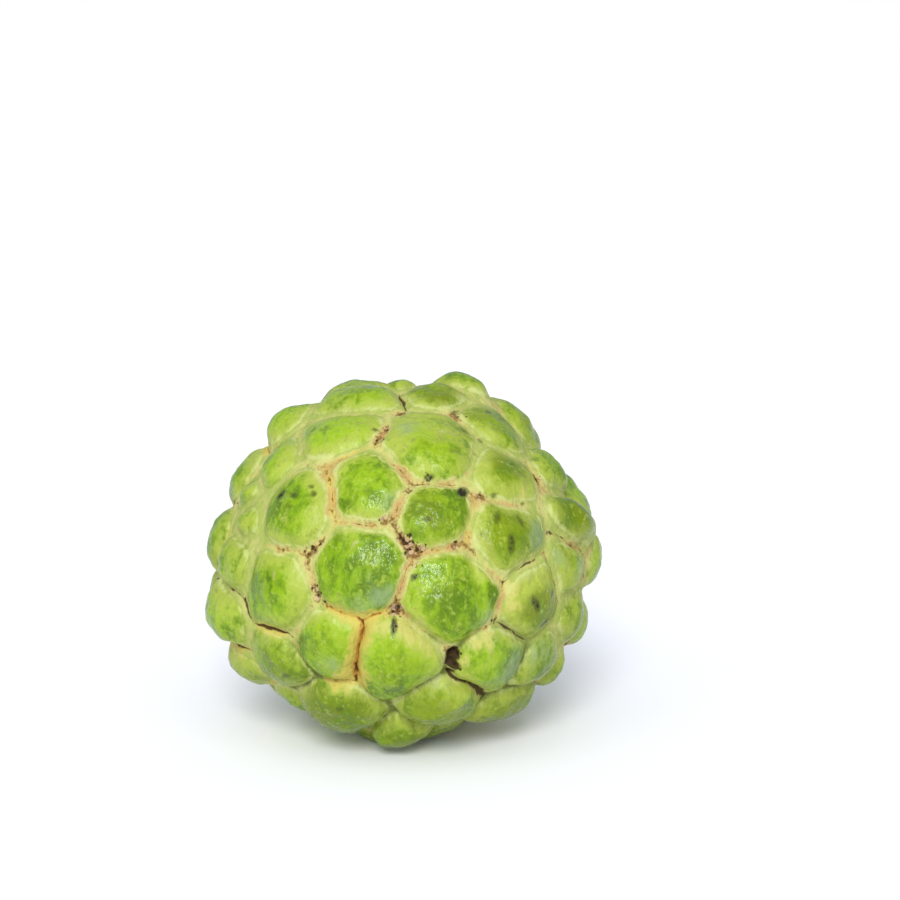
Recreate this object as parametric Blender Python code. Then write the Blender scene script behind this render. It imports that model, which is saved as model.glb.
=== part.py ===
"""A custard apple (sugar apple) as picked: one round, knobbly fruit that rests on a small flat spot, with
the cut stub of its woody stalk in a hollow at the back. Metres, +Z up, the front of the fruit faces -Y."""

import math

import bmesh
import bpy
import numpy as np
from mathutils import Matrix, Vector

MM = 0.001

# The fruit without its knobs is an egg-like ball with these half widths.
HALF_WIDTH = 36.0 * MM
HALF_DEPTH = 35.0 * MM
HALF_HEIGHT = 33.9 * MM
LAYOUT_RADIUS = 36.5 * MM  # the ball on which the knobs are laid out

FLAT_CUT = 0.8 * MM  # how much the fruit's own weight has flattened off its lowest knobs
BALL_SUBDIVISIONS = 5

# The fruit leans: its stalk end points up and back, its small-knobbed tip down and forward.
STALK_LEAN = math.radians(48)
FRONT_LOOKS_DOWN = math.radians(13)  # the front view below is seen from this much above level
VIEW_DISTANCE = 432.0 * MM  # and from this far from the middle of the fruit

# A knob rises this share of its own radius over the creases between knobs, times its bulge.
KNOB_RISE = 0.48
KNOB_ROUNDNESS = 2.7  # 2 is a parabola; more makes a flatter top with steeper sides
CREASE_ROUNDING = 0.7 * MM  # how softly three creases run together
KNOB_TILT = 0.35 * MM  # how much further a knob's lower lip stands out than its upper one
CREASE_SNAP = 1.2 * MM  # points nearer to a crease than this are slid onto it

# The hollow that the stalk sits in, and the stub of the stalk.
HOLLOW_FLOOR_RADIUS = 5.0 * MM
HOLLOW_RIM_RADIUS = 12.5 * MM
HOLLOW_DEPTH = 3.0 * MM
STALK_SIDE = 0.5  # the hollow reaches no further round the fruit than this cosine from the stalk's axis
STUB_RADIUS = 2.9 * MM
STUB_COLLAR_RADIUS = 4.2 * MM
STUB_LENGTH = 8.0 * MM
STUB_SIDES = 20
CLEARANCE = 0.3 * MM

# The knobs that show from the front: millimetres right of the middle, millimetres above it, millimetres
# across, and how much the knob bulges.
FRONT_KNOBS = [
    (-9.9, -2.0, 18.0, 0.45),
    (9.5, -8.1, 19.5, 0.5),
    (-8.2, 15.5, 15.2, 0.4),
    (6.9, 9.7, 15.0, 0.45),
    (20.9, 5.1, 16.0, 0.5),
    (20.2, 18.4, 14.5, 0.45),
    (6.3, 24.4, 18.4, 0.45),
    (-13.8, 28.0, 14.6, 0.5),
    (-22.1, 10.5, 15.0, 0.5),
    (-25.7, -6.9, 15.5, 0.6),
    (-34.8, -10.3, 13.5, 1.1),
    (-34.6, 1.0, 10.5, 1.0),
    (-32.8, 8.3, 8.0, 0.8),
    (-32.2, 13.6, 8.0, 0.8),
    (-27.3, 19.8, 9.5, 0.8),
    (-25.3, 28.1, 10.0, 0.8),
    (-9.2, 34.2, 14.5, 0.7),
    (6.3, 35.2, 11.5, 0.8),
    (18.8, 28.3, 12.5, 0.6),
    (10.9, 36.8, 11.0, 1.0),
    (-0.8, 38.5, 8.5, 1.0),
    (31.0, 18.2, 11.5, 1.1),
    (34.2, 7.4, 12.5, 1.4),
    (34.0, -0.8, 12.0, 0.75),
    (25.9, -8.7, 14.5, 0.5),
    (33.8, -11.5, 11.0, 0.9),
    (17.2, -21.0, 15.0, 0.65),
    (28.1, -20.2, 10.5, 0.9),
    (31.0, -23.0, 9.0, 1.0),
    (20.6, -30.0, 13.0, 1.0),
    (7.8, -28.8, 12.8, 1.1),
    (-2.6, -35.2, 9.4, 1.8),
    (-14.3, -31.0, 16.0, 1.0),
    (-1.4, -19.9, 17.8, 0.75),
    (-16.2, -16.8, 15.0, 0.6),
    (-25.5, -20.6, 11.5, 0.75),
    (-31.6, -20.2, 12.0, 1.0),
    (8.0, -36.6, 9.0, 1.0),
]

# Where the ball bulges or is flatter than an even one: millimetres right of the middle, millimetres above it,
# reach and rise in millimetres.
SWELLINGS = [
    (-37.0, -16.0, 15.0, 3.0),
    (38.0, 6.0, 8.0, 2.2),
    (35.0, 14.0, 5.0, -1.6),
    (29.0, 24.0, 11.0, -1.2),
    (15.0, 37.0, 9.0, 3.6),
    (-23.0, -30.0, 10.0, -1.8),
    (-26.0, 30.0, 7.0, 2.4),
    (33.0, -22.0, 10.0, 1.2),
    (-2.2, -38.0, 5.0, 1.6),
    (12.0, -37.0, 8.0, -1.4),
    (-28.0, -27.0, 6.0, 1.2),
    (-13.0, 36.0, 10.0, 1.8),
    (-37.0, 11.0, 5.0, 0.5),
]

# The hidden knobs are large round the stalk end and small at the tip.
SHOULDER_KNOB_ACROSS = 16.0 * MM
TIP_KNOB_ACROSS = 9.0 * MM
SPIRAL_PLACES = 700
CLOSEST_SPACING = 0.93  # of the two knobs' radii together
SPREAD_ROUNDS = 60  # of pushing apart the knobs that crowd each other
ROOM_BETWEEN = 1.08  # two knobs crowd each other when nearer than this share of their radii together
PUSH_SHARE = 0.25  # how much of the overlap one round takes away
FRONT_HALF = 0.2  # no hidden knob's middle is nearer to the front than this cosine
KNOB_SEED = 7
LEAST_BULGE = 0.88  # of the hidden knobs
MOST_BULGE = 1.12

SKIN = {"name": "fruit_skin", "color": (0.27, 0.42, 0.07, 1), "roughness": 0.42, "metallic": 0.0}
BARK = {"name": "stalk_bark", "color": (0.16, 0.10, 0.05, 1), "roughness": 0.85, "metallic": 0.0}


def clear_scene():
    for old in list(bpy.data.objects):
        bpy.data.objects.remove(old, do_unlink=True)


def stalk_axis():
    """Unit direction from the middle of the fruit out through its stalk."""
    return Vector((0, math.cos(STALK_LEAN), math.sin(STALK_LEAN)))


def front_direction(right, up):
    """Direction from the middle of the fruit to what the front view shows at this place, measured on the
    upright plane through the middle. A place outside the outline gives the outline's nearest point."""
    viewer = Vector((0, -VIEW_DISTANCE, 0))
    ray = Vector((right * MM, VIEW_DISTANCE, up * MM))
    reach = ray.length_squared * (VIEW_DISTANCE**2 - LAYOUT_RADIUS**2)
    root = math.sqrt(max(viewer.dot(ray) ** 2 - reach, 0))
    seen = viewer + ray * ((-viewer.dot(ray) - root) / ray.length_squared)
    return Matrix.Rotation(-FRONT_LOOKS_DOWN, 3, "X") @ seen.normalized()


def spiral_directions(count):
    """Evenly spread directions, in one spiral round the stalk's axis from the stalk end to the tip."""
    turn = math.pi * (3 - math.sqrt(5))
    to_axis = Vector((0, 0, 1)).rotation_difference(stalk_axis())
    for place in range(count):
        along = 1 - 2 * (place + 0.5) / count
        across = math.sqrt(1 - along**2)
        direction = Vector((across * math.cos(turn * place), across * math.sin(turn * place), along))
        yield along, to_axis @ direction


def lay_out_knobs():
    """Unit directions, radii and bulges of every knob. The first entry is the stalk's place, with no knob."""
    middles = [stalk_axis()]
    radii = [HOLLOW_FLOOR_RADIUS]
    bulges = [0.0]
    for right, up, across, bulge in FRONT_KNOBS:
        middles.append(front_direction(right, up))
        radii.append(across / 2 * MM)
        bulges.append(bulge)
    fixed = len(middles)
    front = front_direction(0, 0)
    for along, direction in spiral_directions(SPIRAL_PLACES):
        radius = (TIP_KNOB_ACROSS + (SHOULDER_KNOB_ACROSS - TIP_KNOB_ACROSS) * (along + 1) / 2) / 2
        if direction.dot(front) < FRONT_HALF and all(
            (direction - other).length * LAYOUT_RADIUS > CLOSEST_SPACING * (radius + other_radius)
            for other, other_radius in zip(middles, radii)
        ):
            middles.append(direction)
            radii.append(radius)
    radii = np.array(radii)
    variety = np.random.default_rng(KNOB_SEED).uniform(LEAST_BULGE, MOST_BULGE, len(radii))
    bulges = np.concatenate([bulges, variety[fixed:]])
    return spread_apart(np.array(middles), radii, fixed), radii, bulges


def spread_apart(middles, radii, fixed):
    """Pushes knobs that crowd each other apart. The first ones, up to fixed, stay where they are."""
    reach = (radii[:, None] + radii[None, :]) / LAYOUT_RADIUS
    for _ in range(SPREAD_ROUNDS):
        away = middles[:, None, :] - middles[None, :, :]
        distance = np.linalg.norm(away, axis=2)
        np.fill_diagonal(distance, 9)
        push = np.clip(reach * ROOM_BETWEEN - distance, 0, None) * PUSH_SHARE
        step = (away / distance[:, :, None] * push[:, :, None]).sum(axis=1)
        middles[fixed:] += step[fixed:]
        middles /= np.linalg.norm(middles, axis=1, keepdims=True)
    return middles


def crease_distances(directions, middles, radii):
    """For each direction: its knob, the next knob, the distance to the crease between them (rounded where
    three creases meet, and plain), and the distance from the knob's middle."""
    chord = np.sqrt(np.clip(2 - 2 * directions @ middles.T, 0, None)) * LAYOUT_RADIUS
    beyond = chord - radii
    order = np.argsort(beyond, axis=1)
    rows = np.arange(len(directions))
    own, following = order[:, 0], order[:, 1]
    plain = (beyond[rows, following] - beyond[rows, own]) / 2
    others = np.exp(-(beyond - beyond[rows, following][:, None]) / CREASE_ROUNDING)
    others[rows, own] = 0
    rounded = plain - CREASE_ROUNDING / 2 * np.log(others.sum(axis=1))
    return own, following, np.clip(rounded, 0, None), plain, chord[rows, own]


def slide_onto_creases(directions, middles, radii):
    """Moves points that lie close to a crease onto it, so that the crease is a clean line of edges."""
    own, following, _, plain, _ = crease_distances(directions, middles, radii)
    across = middles[following] - middles[own]
    across /= np.linalg.norm(across, axis=1, keepdims=True)
    near = (plain < CREASE_SNAP)[:, None]
    moved = directions + np.where(near, across * (plain / LAYOUT_RADIUS)[:, None], 0)
    return moved / np.linalg.norm(moved, axis=1, keepdims=True)


def knob_relief(directions, middles, radii, bulges):
    """Height of the knobbly skin over the ball, in metres."""
    own, _, crease, _, from_middle = crease_distances(directions, middles, radii)
    share = crease / (crease + from_middle + 1e-9)  # 0 on the crease, 1 at the knob's middle
    rise = KNOB_RISE * radii * bulges
    dome = 1 - (1 - share) ** KNOB_ROUNDNESS
    tipward = -np.array(stalk_axis())
    lip = (directions - middles[own]) @ tipward * LAYOUT_RADIUS / radii[own]
    return rise[own] * dome + KNOB_TILT * lip * np.sin(np.pi * share)


def ball_radius(directions):
    """Distance from the middle of the fruit to the ball under the knobs."""
    radius = 1 / np.linalg.norm(directions / np.array([HALF_WIDTH, HALF_DEPTH, HALF_HEIGHT]), axis=1)
    for right, up, reach, rise in SWELLINGS:
        away = np.linalg.norm(directions - np.array(front_direction(right, up)), axis=1) * LAYOUT_RADIUS
        radius = radius + rise * MM * np.exp(-((away / (reach * MM)) ** 2))
    return radius


def hollow_floor_height():
    """Height of the hollow's flat floor above the middle of the fruit, along the stalk's axis."""
    return float(ball_radius(np.array([stalk_axis()]))[0]) - HOLLOW_DEPTH


def skin_points(directions, middles, radii, bulges):
    """The points of the fruit's skin, about the middle of the fruit."""
    reach = ball_radius(directions) + knob_relief(directions, middles, radii, bulges)
    cosine = directions @ np.array(stalk_axis())
    from_axis = np.sqrt(np.clip(1 - cosine**2, 0, None)) * hollow_floor_height()
    to_rim = (from_axis - HOLLOW_FLOOR_RADIUS) / (HOLLOW_RIM_RADIUS - HOLLOW_FLOOR_RADIUS)
    ease = np.clip(to_rim, 0, 1)
    ease = ease * ease * (3 - 2 * ease)
    hollowed = cosine > STALK_SIDE
    floor = hollow_floor_height() / np.clip(cosine, STALK_SIDE, 1)
    reach = np.where(hollowed, floor + (reach - floor) * ease, reach)
    return directions * reach[:, None]


def material_of(look):
    material = bpy.data.materials.new(look["name"])
    material.use_nodes = True
    shader = material.node_tree.nodes["Principled BSDF"]
    shader.inputs["Base Color"].default_value = look["color"]
    shader.inputs["Roughness"].default_value = look["roughness"]
    shader.inputs["Metallic"].default_value = look["metallic"]
    return material


def add_object(name, mesh_builder, look):
    mesh = bpy.data.meshes.new(name)
    mesh_builder.to_mesh(mesh)
    mesh_builder.free()
    mesh.materials.append(material_of(look))
    mesh.shade_smooth()
    mesh.set_sharp_from_angle(angle=math.radians(40))
    made = bpy.data.objects.new(name, mesh)
    bpy.context.scene.collection.objects.link(made)
    return made


def build_fruit():
    """The fruit about its own middle, with its lowest knobs cut off flat."""
    middles, radii, bulges = lay_out_knobs()
    bm = bmesh.new()
    bmesh.ops.create_icosphere(bm, subdivisions=BALL_SUBDIVISIONS, radius=1)
    directions = np.array([vertex.co.normalized() for vertex in bm.verts])
    directions = slide_onto_creases(directions, middles, radii)
    for vertex, point in zip(bm.verts, skin_points(directions, middles, radii, bulges)):
        vertex.co = point
    resting_height = min(vertex.co.z for vertex in bm.verts) + FLAT_CUT
    everything = bm.verts[:] + bm.edges[:] + bm.faces[:]
    cut = bmesh.ops.bisect_plane(
        bm, geom=everything, dist=1e-6, plane_co=(0, 0, resting_height), plane_no=(0, 0, 1), clear_inner=True
    )
    rim = [item for item in cut["geom_cut"] if isinstance(item, bmesh.types.BMEdge)]
    bmesh.ops.holes_fill(bm, edges=rim, sides=0)
    bmesh.ops.recalc_face_normals(bm, faces=bm.faces[:])
    return add_object("fruit", bm, SKIN), resting_height


def build_stub():
    """The stub of the stalk along +Z from its own origin, which is the hollow's floor."""
    profile = [
        (0, CLEARANCE),
        (STUB_COLLAR_RADIUS * 0.86, CLEARANCE),
        (STUB_COLLAR_RADIUS, CLEARANCE + STUB_LENGTH * 0.10),
        (STUB_COLLAR_RADIUS * 0.93, CLEARANCE + STUB_LENGTH * 0.24),
        (STUB_RADIUS, CLEARANCE + STUB_LENGTH * 0.42),
        (STUB_RADIUS * 0.96, CLEARANCE + STUB_LENGTH * 0.92),
        (STUB_RADIUS * 0.86, CLEARANCE + STUB_LENGTH),
        (0, CLEARANCE + STUB_LENGTH),
    ]
    bm = bmesh.new()
    corners = [bm.verts.new((radius, 0, height)) for radius, height in profile]
    edges = [bm.edges.new(pair) for pair in zip(corners, corners[1:])]
    bmesh.ops.spin(
        bm,
        geom=corners + edges,
        axis=(0, 0, 1),
        cent=(0, 0, 0),
        steps=STUB_SIDES,
        angle=math.tau,
        use_merge=True,
    )
    bmesh.ops.remove_doubles(bm, verts=bm.verts[:], dist=1e-6)
    bmesh.ops.recalc_face_normals(bm, faces=bm.faces[:])
    return add_object("stalk_stub", bm, BARK)


def main():
    clear_scene()
    fruit, resting_height = build_fruit()
    across = [vertex.co.x for vertex in fruit.data.vertices]
    deep = [vertex.co.y for vertex in fruit.data.vertices]
    # The fruit's middle is placed so that it rests on z = 0 with its outline centred on the origin.
    middle = Vector((-(min(across) + max(across)) / 2, -(min(deep) + max(deep)) / 2, -resting_height))
    fruit.location = middle
    stub = build_stub()
    stub.location = middle + stalk_axis() * hollow_floor_height()
    stub.rotation_mode = "QUATERNION"
    stub.rotation_quaternion = Vector((0, 0, 1)).rotation_difference(stalk_axis())


main()
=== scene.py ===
import math

import bmesh
import bpy
import numpy as np
from mathutils import Matrix, Vector, noise


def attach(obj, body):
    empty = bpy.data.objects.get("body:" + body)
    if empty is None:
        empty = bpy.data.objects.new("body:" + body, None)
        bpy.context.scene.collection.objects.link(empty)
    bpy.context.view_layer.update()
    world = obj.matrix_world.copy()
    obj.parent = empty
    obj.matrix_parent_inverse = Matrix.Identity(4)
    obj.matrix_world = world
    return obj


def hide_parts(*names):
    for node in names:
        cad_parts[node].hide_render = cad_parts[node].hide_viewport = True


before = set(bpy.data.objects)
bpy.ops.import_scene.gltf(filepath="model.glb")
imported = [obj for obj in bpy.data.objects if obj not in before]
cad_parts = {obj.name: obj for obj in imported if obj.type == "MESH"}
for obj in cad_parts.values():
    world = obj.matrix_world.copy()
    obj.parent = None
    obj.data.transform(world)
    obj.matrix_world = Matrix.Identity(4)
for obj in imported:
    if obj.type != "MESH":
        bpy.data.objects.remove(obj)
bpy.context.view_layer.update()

mm = 0.001
scene = bpy.context.scene
print("custard apple: frame loaded")


def linear(hexColour):
    # sRGB hex to the linear numbers that shaders want
    parts = [int(hexColour[i:i + 2], 16) / 255 for i in (1, 3, 5)]
    return [c / 12.92 if c <= 0.04045 else ((c + 0.055) / 1.055) ** 2.4 for c in parts] + [1]


def addNode(tree, kind, settings=None, links=None):
    # settings are the node's own properties; links are values or other nodes' outputs for its sockets
    made = tree.nodes.new(kind)
    for name, value in (settings or {}).items():
        setattr(made, name, value)
    for socket, value in (links or {}).items():
        if isinstance(value, bpy.types.NodeSocket):
            tree.links.new(value, made.inputs[socket])
        else:
            made.inputs[socket].default_value = value
    return made


def smoothStep(values, low, high):
    share = np.clip((values - low) / (high - low), 0, 1)
    return share * share * (3 - 2 * share)


def wobble(points, size, seed):
    # soft noise from -1 to 1 with bumps about size millimetres across
    shift = Vector((seed * 13.7, seed * 7.1, seed * 3.3))
    return np.array([noise.noise(Vector(p) / size + shift) for p in points])


# Millimetres, unless a name or a note says otherwise. The layout of the knobs is the CAD part's own.
fruit = {
    "halfWidth": 36.0, "halfDepth": 35.0, "halfHeight": 33.9,  # the ball under the knobs
    "middle": (-0.15, -0.64, 35.24),  # of the ball; the surface that the fruit rests on is at 0
    "viewDistance": 432.0, "frontLooksDown": 13,  # of whoever looks at its front; degrees
    "stalkLean": 48,  # degrees that the stalk end points up, at the back
    "gridCuts": 125,  # loops across each side of the ball: a mesh of 0.5 mm squares
    "hollowFloorRadius": 5.0, "hollowRimRadius": 12.5, "hollowDepth": 3.0,
    "pressedUnder": 0.25,  # height over the surface under which the lowest knobs are pressed flat
}

# How the knobs are laid out over the ball.
layout = {
    "radius": 36.5,  # of the ball that they are laid out on
    "shoulderKnobAcross": 16.0, "tipKnobAcross": 9.0,
    "spiralPlaces": 700,  # tried one after the other for the knobs that don't show from the front
    "spiralFrom": 0.2,  # cosine to the middle of the front under which the spiral's knobs are kept
    "closest": 0.93,  # distance at which one still fits beside the others, in their radii
    "pushRounds": 60, "pushShare": 0.25, "roomBetween": 1.08,  # how those that crowd are pushed apart
}

# How one knob rises from the creases round it.
knob = {
    "nearest": 6,  # how many knobs have a say in each place
    "cornerRounding": 1.3,  # how rounded a knob's corners are
    "unlike": (0.88, 1.12),  # least and most that the hidden ones' height varies
    "edgeStep": 0.07, "edgeStepTip": 0.15,  # height of the lip round its top, as a share of its radius
    "lipFrom": 0.4, "lipReach": 1.1,  # from this share of half the crease's width to so far in from it
    "domeRise": 0.38,  # height of its dome, as a share of its radius
    "domeRoundness": 2.6,
    "tipwardLean": 0.35,  # how much its side toward the tip stands out
    "unevenFrom": 2.5,  # how far in from the crease its top is at its most uneven
    "evenUnder": 6.0,  # radius under which the smaller ones are also the more even ones
    "lumpHeight": 0.4, "lumpSize": 4.5,  # uneven swelling of the tops
    "dimpleHeight": 0.15, "dimpleSize": 1.3,  # finer unevenness
    "wideDimples": 1.3,  # height of those twice as wide, as a share of that
    "foldedOne": "B", "fold": (15.0, -6.0, 13.0, 2.4, 97),  # right, above, length, width, turn in degrees
    "foldDepth": 1.0, "foldSlope": 1.2, "foldPaleness": 0.6,
    "paleEdge": 0.6, "paleEdgeShare": 0.75,  # how far in it reaches; share of the radius that the palest add
    "edgeLineIn": 0.1, "edgeLineWidth": 0.3,  # the pale line round the knob, just in from the crease
}

crease = {
    "waver": 0.45, "waverSize": 7.0,  # how far it wanders from its even line
    "fineWaver": 0.7, "fineWaverSize": 0.35,  # a finer wandering, as shares of those
    "narrow": 0.35, "wide": 1.0,  # half its width near the tip and round the shoulder
    "narrowUpTo": 34, "wideFrom": 62,  # degrees from the tip
    "varies": (0.75, 1.2),  # least and most that the width varies from crease to crease
    "shutUnder": 0.42, "openOver": 0.8,  # half its width
    "mostTorn": 0.75,  # of the hidden ones, 0 to 1
    "rusty": (-0.5, 1),  # least and most of the hidden ones; under 0 is none
    "otherTorn": 0.1,  # of the front ones that aren't among the tears
    "blend": 1.2,  # over which one crease's width and tears go over into the next one's
    "snapWithin": 0.27,  # points so near to its middle are slid onto it
    "floorRise": 0.25,  # from its middle to the foot of a knob
    "crackDepth": 0.45, "crackWidth": 0.45,
    "cracks": (0.15, 0.6),  # how torn it is where the crack starts to show and where it is at its deepest
    "roughness": 0.14, "roughnessSize": 1.3,
}

# Each knob that shows from the front: right of the middle, above it, across, and how much it bulges.
frontKnobs = {
    "A": (-9.9, -2, 18, 0.45),
    "B": (9.5, -8.1, 19.5, 0.5),
    "C": (-8.2, 15.5, 15.2, 0.4),
    "D": (6.9, 9.7, 15, 0.45),
    "E": (20.9, 5.1, 16, 0.5),
    "F": (20.2, 18.4, 14.5, 0.45),
    "G": (6.3, 24.4, 18.4, 0.45),
    "H": (-13.8, 28, 14.6, 0.5),
    "I": (-22.1, 10.5, 15, 0.5),
    "J": (-25.7, -6.9, 15.5, 0.6),
    "K": (-34.8, -10.3, 13.5, 1.1),
    "L": (-34.6, 1, 10.5, 1),
    "M": (-32.8, 8.3, 8, 0.8),
    "N": (-32.2, 13.6, 8, 0.8),
    "O": (-27.3, 19.8, 9.5, 0.8),
    "P": (-25.3, 28.1, 10, 0.8),
    "Q": (-9.2, 34.2, 14.5, 0.7),
    "S": (6.3, 35.2, 11.5, 0.8),
    "T": (18.8, 28.3, 12.5, 0.6),
    "U": (10.9, 36.8, 11, 1),
    "V": (-0.8, 38.5, 8.5, 1),
    "W": (31, 18.2, 11.5, 1.1),
    "X": (34.2, 7.4, 12.5, 1.4),
    "Y": (34, -0.8, 12, 0.75),
    "Z": (25.9, -8.7, 14.5, 0.5),
    "AA": (33.8, -11.5, 11, 0.9),
    "BB": (17.2, -21, 15, 0.65),
    "CC": (28.1, -20.2, 10.5, 0.9),
    "DD": (31, -23, 9, 1),
    "EE": (20.6, -30, 13, 1),
    "FF": (7.8, -28.8, 12.8, 1.1),
    "GG": (-2.6, -35.2, 9.4, 1.8),
    "HH": (-14.3, -31, 16, 1),
    "II": (-1.4, -19.9, 17.8, 0.75),
    "JJ": (-16.2, -16.8, 15, 0.6),
    "KK": (-25.5, -20.6, 11.5, 0.75),
    "LL": (-31.6, -20.2, 12, 1),
    "NN": (8, -36.6, 9, 1),
}
knobNames = ["stalk"] + list(frontKnobs)  # in the order in which they are laid out

# How the front knobs differ in colour, from 0 to 1: how light, how ripe, which is yellower, and how far the
# pale edge reaches in.
# The first number, how light a knob is, holds painted shade as well as its own tone: the knobs toward the
# right side and toward the tip are darker for the shade that falls on them.
frontTones = {
    "A": (0.40, 0.12, 0.12), "B": (0.46, 0.22, 0.12), "C": (0.60, 0.30, 0.40), "D": (0.46, 0.55, 0.25),
    "E": (0.34, 0.65, 0.45), "F": (0.42, 0.80, 0.70), "G": (0.60, 0.50, 0.60), "H": (0.85, 0.30, 0.50),
    "I": (0.40, 0.20, 0.50), "J": (0.45, 0.25, 0.55), "K": (0.55, 0.25, 0.70), "L": (0.35, 0.25, 0.90),
    "M": (0.66, 0.30, 0.90), "N": (0.55, 0.30, 0.85), "O": (0.60, 0.25, 0.90), "P": (0.55, 0.25, 0.75),
    "Q": (0.62, 0.30, 0.40), "S": (0.12, 0.60, 0.35), "T": (0.40, 0.60, 0.50), "U": (0.25, 0.30, 0.35),
    "V": (0.45, 0.40, 0.60), "W": (0.35, 0.40, 0.60), "X": (0.10, 0.60, 0.45), "Y": (0.50, 0.60, 0.80),
    "Z": (0.30, 0.85, 0.60), "AA": (0.30, 0.60, 0.80), "BB": (0.50, 0.22, 0.45), "CC": (0.25, 0.55, 0.90),
    "DD": (0.25, 0.60, 0.90), "EE": (0.02, 0.70, 0.55), "FF": (0.34, 0.60, 0.30), "GG": (0.18, 0.60, 0.50),
    "HH": (0.12, 0.65, 0.30), "II": (0.66, 0.40, 0.45), "JJ": (0.66, 0.35, 0.25), "KK": (0.40, 0.55, 0.55),
    "LL": (0.40, 0.55, 0.85), "NN": (0.20, 0.55, 0.60),
}

# Where the ball bulges or is flatter than an even one: right, above, reach, rise.
swellings = [
    (-37, -16, 15, 3), (38, 6, 8, 2.2), (35, 14, 5, -1.6),
    (29, 24, 11, -1.2), (15, 37, 9, 3.6), (-23, -30, 10, -1.8),
    (-26, 30, 7, 2.4), (33, -22, 10, 1.2), (-2.2, -38, 5, 1.6),
    (12, -37, 8, -1.4), (-28, -27, 6, 1.2), (-13, 36, 10, 1.8),
    (-37, 11, 5, 0.5),
]

# Creases that the skin has torn along as it swelled: how torn, and how rusty the tear's edges are, 0 to 1.
tears = {
    ("JJ", "II"): (0.5, 1), ("JJ", "HH"): (0.5, 0.8), ("A", "II"): (0.3, 0.8), ("A", "JJ"): (0.3, 0.7),
    ("BB", "FF"): (0.95, 0.42), ("BB", "EE"): (0.2, 0), ("FF", "EE"): (0.9, 0.35), ("Z", "BB"): (0.65, 0.1),
    ("Z", "CC"): (0.7, 0.1), ("Z", "AA"): (0.4, 0.1), ("E", "Z"): (0.5, 0.1), ("E", "Y"): (0.5, 0.1),
    ("Y", "Z"): (0.55, 0.2), ("X", "Y"): (0.55, 0.3), ("J", "K"): (0.7, 0.2), ("K", "LL"): (0.8, 0.7),
    ("J", "KK"): (0.8, 0.7), ("K", "L"): (0.5, 0), ("I", "J"): (0.35, 0.3), ("Q", "S"): (0.85, 0.4),
    ("V", "S"): (0.6, 0.3), ("C", "I"): (0.25, 0.45), ("C", "H"): (0.15, 0.4), ("A", "I"): (0.25, 0.3),
    ("C", "D"): (0.3, 0.2), ("A", "C"): (0.35, 0.2), ("A", "B"): (0.4, 0.2), ("B", "D"): (0.35, 0.3),
    ("A", "D"): (0.5, 0.3), ("C", "G"): (0.35, 0.2), ("D", "G"): (0.4, 0.2), ("D", "E"): (0.25, 0.45),
    ("B", "II"): (0.1, 0), ("F", "W"): (0.4, 0.7), ("HH", "II"): (0.2, 0), ("FF", "GG"): (0.1, 0),
    ("GG", "HH"): (0.1, 0), ("B", "E"): (0.25, 0.2), ("B", "Z"): (0.2, 0.3), ("G", "H"): (0.3, 0.3),
}

# Brown crumbs of cork at the crossings: right, above, radius, strength, how deep the skin is sunk there.
corkSpots = [
    (1.4, 2.2, 2.3, 1.15, 0.3), (0, 4.6, 2, 1.1, 0.4), (3.6, 2.6, 1.5, 0.9, 0.2),
    (-2, 7.6, 1.4, 0.9, 0.1), (-4.6, 8.9, 1.4, 1, 0.3), (2.4, -1, 1.6, 0.9, 0.1),
    (-19.8, 2.4, 1.8, 1.1, 0.3), (-18, 4.2, 1.3, 0.8, 0.1), (-18.4, -7.1, 2.1, 1, 0.3),
    (-16.6, -8.3, 1.5, 0.8, 0.1), (-1.8, -10.1, 1.7, 1.2, 0.7), (10.1, -19.9, 1.8, 1.2, 2.2),
    (9.8, -21.8, 1.8, 1.1, 1.9), (9.4, -23.5, 1.2, 1, 1.2), (27.7, 17.2, 1.7, 0.9, 0.1),
    (10.6, 3, 1.6, 0.9, 0.2), (14.2, 2, 1.2, 0.7, 0), (16.4, 13.8, 1.5, 0.8, 0.1),
    (5, 17.9, 1.2, 0.9, 0.1), (1, 15.6, 1.5, 0.8, 0.1), (-4.5, 26.4, 1.6, 0.9, 0.2),
    (-3.6, 28.6, 1.2, 0.9, 0.2), (-0.8, 31.8, 1.3, 0.9, 0.6), (11.5, 30.8, 1.7, 0.8, 0),
    (-25.4, 3.6, 1.7, 0.6, 0), (34.4, 2.4, 1.5, 0.6, 0), (18.5, -12.6, 1.3, 0.8, 0.1),
    (-24.6, -14.6, 1.2, 0.7, 0.1),
]

# Where the creases are corky and tan: right, above, reach, strength.
warmSpots = [
    (1, 3, 7, 1), (-0.5, -5.5, 4, 0.9), (-3, 11, 6, 0.9), (-15, 13, 4.5, 1.1),
    (-15.5, 19, 4.5, 1), (-10, 6.8, 5, 0.7), (-19.5, 3, 5, 0.8), (-18, -5, 4.5, 0.7),
    (0.5, 19, 5.5, 0.9), (-4.3, 27.3, 4, 1), (10.5, 2.5, 5, 0.9), (9.5, 18, 5, 0.7),
    (15.5, 12.5, 4, 0.8), (22, 11, 4.5, 0.7), (27.5, 16.5, 4, 1), (18, -5.5, 4, 0.8),
    (20, -9, 3, 0.9), (9.1, -19.6, 3, 0.8), (-1.8, -10.1, 4, 0.9), (-8.8, -14, 4, 0.8),
    (-8.4, -22, 4, 0.9), (-14, -25, 5, 0.7), (-25.9, 3.4, 3, 0.8), (-22, 17, 3.5, 0.7),
    (34.4, 2.4, 4, 0.8), (11, 31, 4, 0.8), (16, -16.5, 3, 0.6), (-24, -14.5, 4, 0.5),
    (14, -27, 3.5, 0.5), (-0.8, 31.6, 3, 0.8),
]

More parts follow.
